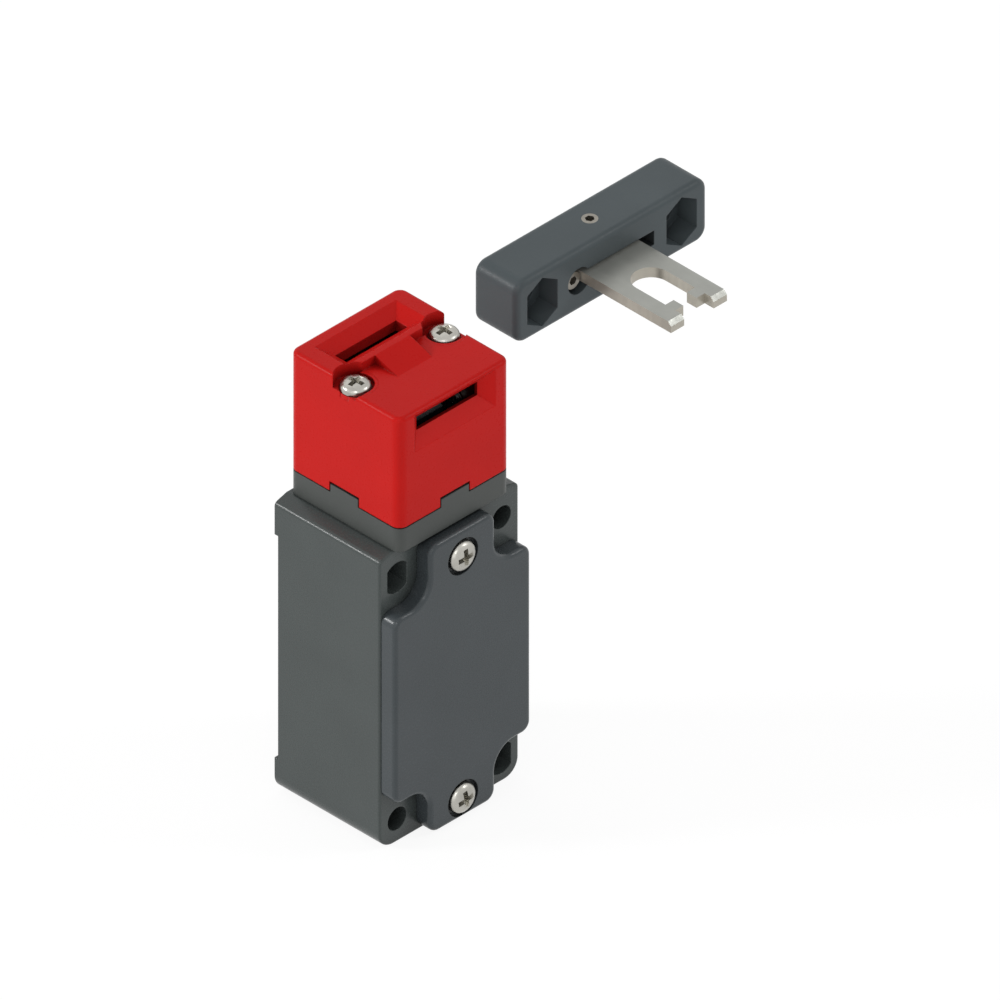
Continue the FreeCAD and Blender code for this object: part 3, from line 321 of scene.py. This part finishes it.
def box_mask(tree, place, low, high):
    """1 inside a box given in millimetres, 0 outside, from three shifted coordinates."""
    centre = [(a + b) / 2 * MM for a, b in zip(low, high)]
    half_size = [(b - a) / 2 * MM for a, b in zip(low, high)]
    shift = tree.nodes.new("ShaderNodeVectorMath")
    shift.operation = "SUBTRACT"
    shift.inputs[1].default_value = centre
    distance = tree.nodes.new("ShaderNodeVectorMath")
    distance.operation = "ABSOLUTE"
    parts = tree.nodes.new("ShaderNodeSeparateXYZ")
    tree.links.new(place, shift.inputs[0])
    tree.links.new(shift.outputs[0], distance.inputs[0])
    tree.links.new(distance.outputs[0], parts.inputs[0])
    inside = [calculated(tree, "LESS_THAN", parts.outputs[axis], limit)
              for axis, limit in zip("XYZ", half_size)]
    level_part = calculated(tree, "MULTIPLY", inside[0], inside[1])
    return calculated(tree, "MULTIPLY", level_part, inside[2])


def tinted(tree, mask, plain, colour):
    """The plain colour outside a mask and another colour inside it."""
    choice = tree.nodes.new("ShaderNodeMix")
    choice.data_type = "RGBA"
    choice.inputs[SECOND_COLOUR].default_value = colour
    tree.links.new(mask, choice.inputs[0])
    tree.links.new(plain, choice.inputs[FIRST_COLOUR])
    return choice.outputs[MIXED_COLOUR]


def painted_chamber_shade(tree, place, tint):
    """Painted shade: a dark red in the head's chamber and a duller red in its two slots.
    """
    top_slot = box_mask(tree, place, (-8.8, -9.6, 60), (8.8, -6.0, 70.05))
    front_slot = box_mask(tree, place, (-8.8, -29.45, 62), (8.8, -28.4, 68))
    chamber = box_mask(tree, place, (-10.1, -28.65, 44), (10.1, -3.0, 67.65))
    slots = tinted(tree, top_slot, tint, srgb(165, 26, 24))
    slots = tinted(tree, front_slot, slots, srgb(118, 16, 14))
    return tinted(tree, chamber, slots, srgb(44, 8, 8))


def painted_mouth_shade(tree, place, tint):
    """Painted shade: a darker grey on the walls of the mouth that the tongue stands in."""
    mouth = box_mask(tree, place, (55.8, -12.45, 58.2), (76.7, -0.5, 61.8))
    return tinted(tree, mouth, tint, srgb(60, 65, 67))


print("masks for", painted_chamber_shade.__name__, "and", painted_mouth_shade.__name__)

# %% [markdown]
# ## Moulded plastics
# The grey body and the red head are moulded in plastic: an even colour, a satin
# surface with a fine spark-eroded grain, and very faint clouds where the melt
# flowed. One helper makes all the plastics. Fine noise drives the bump and the
# roughness, and coarse noise shifts the colour by a few percent.

# %% Mould the plastics
cloud_scale, grain_scale = 70, 1700  # clouds of 14 mm, grain of 0.6 mm
grain_depth = 0.00004  # m
edge_radius, corner_reach = 0.3, 6  # mm


def plastic(name, colour, roughness=0.25, grain=0.025, cloud=0.05, specular=0.28,
            inside=None, darkest=0.2):
    """Moulded plastic with shade painted into its corners; inside() may paint shade on its
    hidden faces.
    """
    material, tree, shader, place = new_finish(name)
    clouds = noise(tree, place, cloud_scale, 2)
    tint = two_shades(tree, clouds, colour, 1 - cloud, 1 + cloud)
    if inside is not None:
        tint = inside(tree, place, tint)
    # painted shade: the colour is darkened in corners and holes, where little sky reaches
    tint = with_painted_corner_shade(tree, tint, corner_reach, darkest)
    tree.links.new(tint, shader.inputs["Base Color"])
    fine = noise(tree, place, grain_scale)
    tree.links.new(between(tree, fine, roughness - 0.05, roughness + 0.06),
                   shader.inputs["Roughness"])
    tree.links.new(bump(tree, fine, grain, grain_depth, soft_edges(tree, edge_radius)),
                   shader.inputs["Normal"])
    shader.inputs["Specular IOR Level"].default_value = specular
    print("plastic", name)
    return material


body_grey = plastic("body_grey_plastic", srgb(72, 78, 77))
cover_grey = plastic("cover_grey_plastic", srgb(68, 74, 77))
# painted shade on the walls of the mouth that the tongue stands in
block_grey = plastic("actuator_grey_plastic", srgb(80, 88, 91), roughness=0.38,
                     grain=0.02, specular=0.17, inside=painted_mouth_shade, darkest=0.5)
collar_grey = plastic("collar_grey_plastic", srgb(80, 83, 81), roughness=0.4,
                      specular=0.2)
# painted shade on the head's chamber and on the walls of its two slots
head_red = plastic("head_red_plastic", srgb(204, 29, 26), roughness=0.3, cloud=0.03,
                   specular=0.07, inside=painted_chamber_shade)
carrier_white = plastic("carrier_white_plastic", srgb(226, 224, 214), grain=0.15)
cam_black = plastic("cam_black_plastic", srgb(17, 18, 21), specular=0.3)
block_beige = plastic("contact_block_plastic", srgb(196, 186, 160), roughness=0.5)
seal_black = plastic("rubber_black", srgb(30, 30, 31), roughness=0.7, grain=0.4,
                     specular=0.12)

# %% [markdown]
# ## Metals
# Screws are zinc plated, contacts are brass, springs are bright steel. They are all
# small, so one helper with fine scratches and slightly uneven plating is enough.

# %% Plate the screws, contacts and springs
scratch_scale, patch_scale = 900, 260
scratch_depth = 0.00003  # m


def metal(name, colour, roughness=0.32, wear=0.08):
    """Bare or plated metal, with wear as the share by which its colour varies."""
    material, tree, shader, place = new_finish(name)
    scratches = noise(tree, place, scratch_scale, 5)
    patches = noise(tree, place, patch_scale)
    tint = two_shades(tree, patches, colour, 1 - wear, 1 + wear)
    tree.links.new(tint, shader.inputs["Base Color"])
    tree.links.new(between(tree, scratches, roughness - 0.08, roughness + 0.1),
                   shader.inputs["Roughness"])
    tree.links.new(bump(tree, scratches, 0.15, scratch_depth), shader.inputs["Normal"])
    shader.inputs["Metallic"].default_value = 1.0
    print("metal", name)
    return material


zinc = metal("zinc_plated_steel", srgb(177, 175, 168), roughness=0.3, wear=0.1)
bright_steel = metal("bright_steel", srgb(190, 190, 188), roughness=0.28)
dull_steel = metal("dull_set_screw_steel", srgb(142, 138, 130), roughness=0.4)
brass = metal("contact_brass", srgb(196, 160, 92), roughness=0.3)
spring_steel = metal("spring_steel", srgb(170, 170, 172), roughness=0.3)

# %% [markdown]
# ## The tongue's steel
# The tongue is punched from stainless strip. Its flat faces show the rolling
# direction as fine long scratches, and its punched edges are warmer in tone, with
# marks across the sheet. The face's own normal tells them apart. The steel is matt,
# so less than half of its shine is a metal's mirror.

# %% Punch the tongue from strip
flat_above = 0.4  # upright share of the normal from which a face counts as flat
along_strip, across_sheet = (1, 0.06, 1), (1, 1, 0.12)  # noise drawn out along Y and Z
mark_scale, stain_scale = 700, 180
mirror_share = 0.45


def punched_steel(name, face_colour, edge_colour):
    """Rolled strip on its flat faces, sheared metal on its upright edges."""
    material, tree, shader, place = new_finish(name)
    parts = tree.nodes.new("ShaderNodeSeparateXYZ")
    geometry = tree.nodes.new("ShaderNodeNewGeometry")
    tree.links.new(geometry.outputs["Normal"], parts.inputs[0])
    upright = calculated(tree, "ABSOLUTE", parts.outputs["Z"])
    flat = calculated(tree, "GREATER_THAN", upright, flat_above)

    def scratched(stretch):
        drawn_out = node_of(tree, "ShaderNodeMapping", Scale=stretch)
        tree.links.new(place, drawn_out.inputs["Vector"])
        return noise(tree, drawn_out.outputs[0], mark_scale, 4)

    rolled, sheared = scratched(along_strip), scratched(across_sheet)
    patches = noise(tree, place, stain_scale, 2)
    face = two_shades(tree, patches, face_colour, 0.95, 1.05)
    edge = two_shades(tree, sheared, edge_colour, 0.94, 1.05)
    choice = tree.nodes.new("ShaderNodeMix")
    choice.data_type = "RGBA"
    tree.links.new(flat, choice.inputs[0])
    tree.links.new(edge, choice.inputs[FIRST_COLOUR])
    tree.links.new(face, choice.inputs[SECOND_COLOUR])
    tree.links.new(choice.outputs[MIXED_COLOUR], shader.inputs["Base Color"])
    tree.links.new(between(tree, rolled, 0.28, 0.4), shader.inputs["Roughness"])
    marks = bump(tree, sheared, 0.04, scratch_depth)
    marks = bump(tree, rolled, 0.05, scratch_depth, marks)
    tree.links.new(marks, shader.inputs["Normal"])
    shader.inputs["Metallic"].default_value = mirror_share
    print("steel", name)
    return material


tongue_steel = punched_steel("tongue_stainless_steel", srgb(159, 160, 154),
                             srgb(181, 176, 164))

# %% [markdown]
# ## Finishes on the measured nodes
# Most nodes have the right shape already, so they only change their finish. Each
# mesh keeps its slots, and only the material in them is swapped, so the measured
# shape isn't touched.

# %% Dress the nodes
finish_of = {
    "housing": body_grey, "cover": cover_grey, "cover_gasket": seal_black,
    "collar": collar_grey, "collar_screws": zinc, "head": head_red,
    "cam_cradle": bright_steel, "cam_axle": bright_steel, "drive_cam": cam_black,
    "plunger": bright_steel, "guide_bush": brass, "plunger_seal": seal_black,
    "contact_block": block_beige, "lower_contacts": brass, "upper_contacts": brass,
    "terminal_screws": zinc, "block_screws": zinc, "contact_carrier": carrier_white,
    "lower_bridge": brass, "upper_bridge": brass, "return_spring": spring_steel,
    "actuator_block": block_grey, "tongue": tongue_steel, "swing_screw": dull_steel,
    "stop_screw": dull_steel, "cover_screws": zinc, "head_screws": zinc,
}
for name, finish in finish_of.items():
    for slot in nodes[name].material_slots:
        slot.material = finish
print("dressed", len(finish_of), "of", len(nodes))

# %% [markdown]
# ## Pan head screws
# Four cross recessed screws show on the outside. A lathe gives the domed head: half
# of its outline is drawn with a few points and spun about the axis. The cross is
# cut by slicing the crown with planes and pushing the cells between them inwards,
# narrower at the bottom, as the punch leaves it.

# %% Turn a screw
lathe_steps = 48
facing_up = 0.4  # least upright share of the normal of a face on the crown
cross_taper = 0.6  # the cross's width at its bottom to that at its top
dome = ((0, 1), (0.45, 0.985), (0.72, 0.9), (0.88, 0.76), (0.97, 0.55), (1, 0.36),
        (1, 0.06), (0.97, 0))  # shares of the head's radius and height


def turned(outline):
    """A closed solid of revolution about Z, from a half outline that meets the axis."""
    bm = bmesh.new()
    points = [bm.verts.new((radius, 0, height)) for radius, height in outline]
    line = [bm.edges.new(pair) for pair in zip(points, points[1:])]
    bmesh.ops.spin(bm, geom=points + line, cent=(0, 0, 0), axis=(0, 0, 1),
                   dvec=(0, 0, 0), angle=2 * math.pi, steps=lathe_steps,
                   use_merge=True, use_duplicate=False)
    bmesh.ops.remove_doubles(bm, verts=bm.verts, dist=1e-7)
    bmesh.ops.recalc_face_normals(bm, faces=bm.faces)
    return bm


def cut_cross(bm, crown_level, reach, slim, depth):
    """Pushes a tapered cross into the crown above a level."""
    for axis in (Vector((1, 0, 0)), Vector((0, 1, 0))):
        for offset in (-reach, -slim, slim, reach):
            crown = [f for f in bm.faces if f.calc_center_median().z > crown_level
                     and f.normal.z > facing_up]
            edges = {e for f in crown for e in f.edges}
            verts = {v for f in crown for v in f.verts}
            bmesh.ops.bisect_plane(bm, geom=crown + list(edges) + list(verts), dist=1e-8,
                                   plane_co=axis * offset, plane_no=axis)

    def in_cross(face):
        at = face.calc_center_median()
        wide, thin = max(abs(at.x), abs(at.y)), min(abs(at.x), abs(at.y))
        on_crown = at.z > crown_level and face.normal.z > facing_up
        return on_crown and wide < reach and thin < slim

    cells = [f for f in bm.faces if in_cross(f)]
    pushed = bmesh.ops.extrude_face_region(bm, geom=cells)
    moved = [g for g in pushed["geom"] if isinstance(g, bmesh.types.BMVert)]
    bmesh.ops.delete(bm, geom=cells, context="FACES_ONLY")
    for vert in moved:
        vert.co.z = crown_level - depth
    bmesh.ops.scale(bm, verts=moved, vec=(cross_taper, cross_taper, 1))
    return len(cells)


def pan_screw(radius, tall, shank, long):
    """A screw with its seat at the origin and its head upwards, in millimetres."""
    head = [(radius * out, tall * up) for out, up in dome]
    bm = turned(head + [(shank, 0), (shank, -long), (0, -long)])
    cells = cut_cross(bm, crown_level=tall * 0.7, reach=radius * 0.6, slim=radius * 0.17,
                      depth=tall * 0.45)
    print("cross of", cells, "cells,", len(bm.faces), "faces")
    return bm


# %% [markdown]
# ## Screws in their places
# One screw is copied to each place of a pair, with its cross turned a little
# further each time, as real screws never stop at the same angle. The pair is one
# mesh at the origin, and it stands in for the measured node of plain screws.

# %% Set the screws in place
sharp_angle = 35  # degrees from which an edge stays sharp
first_turn, turn_step = 8, 5  # degrees of the cross
screw_x, screw_y, head_seat = 12.7, -16.0, 68.85  # the head screws, in mm


def as_piece(name, bm, finish, body):
    """Turns a mesh in millimetres into an object at the origin that rides on a body."""
    bmesh.ops.scale(bm, verts=bm.verts, vec=(MM, MM, MM))
    data = bpy.data.meshes.new(name)
    bm.to_mesh(data)
    bm.free()
    piece = bpy.data.objects.new(name, data)
    data.materials.append(finish)
    bpy.context.scene.collection.objects.link(piece)
    data.shade_smooth()
    data.set_sharp_from_angle(angle=math.radians(sharp_angle))
    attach(piece, body)
    return piece


def screw_set(name, body, node, places, turn, size):
    """Copies of one screw at several places, which stand for one measured node."""
    whole = bmesh.new()
    for number, place in enumerate(places):
        one = pan_screw(**size)
        spin = Matrix.Rotation(math.radians(first_turn - turn_step * number), 4, "Z")
        bmesh.ops.transform(one, matrix=Matrix.Translation(place) @ turn @ spin,
                            verts=one.verts)
        data = bpy.data.meshes.new("loose")
        one.to_mesh(data)
        one.free()
        whole.from_mesh(data)
        bpy.data.meshes.remove(data)
    piece = as_piece(name, whole, zinc, body)
    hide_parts(node)
    print(name, len(places), "screws")


upright, facing_front = Matrix.Identity(4), Matrix.Rotation(math.radians(90), 4, "X")
screw_set("cover_screw_pair", "cover", "cover_screws",
          [(0, -33.0, -30.4), (0, -33.0, 29.8)], facing_front,
          {"radius": 3.5, "tall": 2.2, "shank": 1.9, "long": 7.4})
screw_set("head_screw_pair", "switch", "head_screws",
          [(-screw_x, screw_y, head_seat), (screw_x, screw_y, head_seat)], upright,
          {"radius": 3.25, "tall": 1.95, "shank": 1.5, "long": 30.35})

# %% [markdown]
# ## Screw pockets in the head
# The head screws sit in pockets that open to the sides of the head. Each gets three
# thin red pieces: a seat under the screw's head, a half ring as liner that narrows
# the pocket towards the middle, and a flank that makes its front side straight. A
# lathe makes the rings, and planes cut off what would stand out of the head's side
# or reach into the raised block.

# %% Line the pockets
ring_steps = 64
head_side = 15.99  # mm, a hair inside the head's side
pocket_wall, pocket_radius = 4.63, 3.9  # mm, just past the solid's, and the real one
pocket_low, pocket_high = 69.01, 70.085
seat_inner, seat_outer, seat_low, seat_high = 1.7, 3.47, 67.82, 68.83
block_edge = 2.08  # mm from the screw to the raised block
flank_inner = 0.1  # mm, almost down to the axis


def trimmed(bm, point, normal):
    """Cuts off what lies beyond a plane, and closes the cut."""
    bmesh.ops.bisect_plane(bm, geom=bm.verts[:] + bm.edges[:] + bm.faces[:],
                           plane_co=point, plane_no=normal, clear_outer=True)
    bmesh.ops.holes_fill(bm, edges=[e for e in bm.edges if e.is_boundary], sides=0)


def ring(inner, outer, low, high):
    """A closed ring about Z with a square section."""
    bm = bmesh.new()
    corners = [bm.verts.new(point) for point in ((inner, 0, low), (outer, 0, low),
                                                 (outer, 0, high), (inner, 0, high))]
    sides = [bm.edges.new(pair) for pair in zip(corners, corners[1:] + corners[:1])]
    bmesh.ops.spin(bm, geom=corners + sides, cent=(0, 0, 0), axis=(0, 0, 1),
                   dvec=(0, 0, 0), angle=2 * math.pi, steps=ring_steps, use_merge=True)
    bmesh.ops.remove_doubles(bm, verts=bm.verts, dist=1e-5)
    return bm


for side, name in ((-1, "left"), (1, "right")):
    seat = ring(seat_inner, seat_outer, seat_low, seat_high)
    liner = ring(pocket_radius, pocket_wall, pocket_low, pocket_high)
    trimmed(liner, (0, 0, 0), (side, 0, 0))
    trimmed(liner, (0, block_edge, 0), (0, 1, 0))
    flank = ring(flank_inner, pocket_wall, pocket_low, pocket_high)
    trimmed(flank, (0, 0, 0), (-side, 0, 0))
    trimmed(flank, (0, -pocket_radius, 0), (0, 1, 0))
    for part in (seat, liner, flank):
        bmesh.ops.translate(part, verts=part.verts, vec=(side * screw_x, screw_y, 0))
    for part in (seat, flank):
        trimmed(part, (side * head_side, 0, 0), (side, 0, 0))
    for kind, part in (("seat", seat), ("liner", liner), ("flank", flank)):
        bmesh.ops.recalc_face_normals(part, faces=part.faces)
        open_edges = sum(e.is_boundary for e in part.edges)
        piece = as_piece(f"{name}_pocket_{kind}", part, head_red, "switch")
        print(piece.name, len(piece.data.polygons), "faces,", open_edges, "open edges")

# %% [markdown]
# ## Conduit thread
# The cable gland screws into the foot. The thread is a ridge that climbs the bore:
# a section with a narrow crest and a wide foot, spun about the bore's axis while it
# rises one pitch a turn. Its foot sinks a little into the wall, so no gap shows.

# %% Cut the conduit thread
pitch, turns, bore = 1.5, 7, 9.2  # mm, full turns, mm radius
sink, ridge_tall = 0.02, 0.42  # mm into the wall and out of it
foot_half, crest_half = 0.6, 0.08  # mm
first_ridge = (0, -15.1, -34.6)  # on the bore's axis

thread = bmesh.new()
ridge = [thread.verts.new((radius, 0, height)) for radius, height in
         ((bore + sink, -foot_half), (bore - ridge_tall, -crest_half),
          (bore - ridge_tall, crest_half), (bore + sink, foot_half))]
ridge_edges = [thread.edges.new(pair) for pair in zip(ridge, ridge[1:] + ridge[:1])]
steps = lathe_steps * turns
bmesh.ops.spin(thread, geom=ridge + ridge_edges, cent=(0, 0, 0), axis=(0, 0, 1),
               dvec=(0, 0, pitch * turns / steps), angle=2 * math.pi * turns, steps=steps)
open_ends = [e for e in thread.edges if e.is_boundary]
bmesh.ops.holes_fill(thread, edges=open_ends, sides=4)
bmesh.ops.recalc_face_normals(thread, faces=thread.faces)
bmesh.ops.translate(thread, verts=thread.verts, vec=first_ridge)
conduit_thread = as_piece("conduit_thread", thread, body_grey, "switch")
print("thread of", turns, "turns,", len(conduit_thread.data.polygons), "faces")
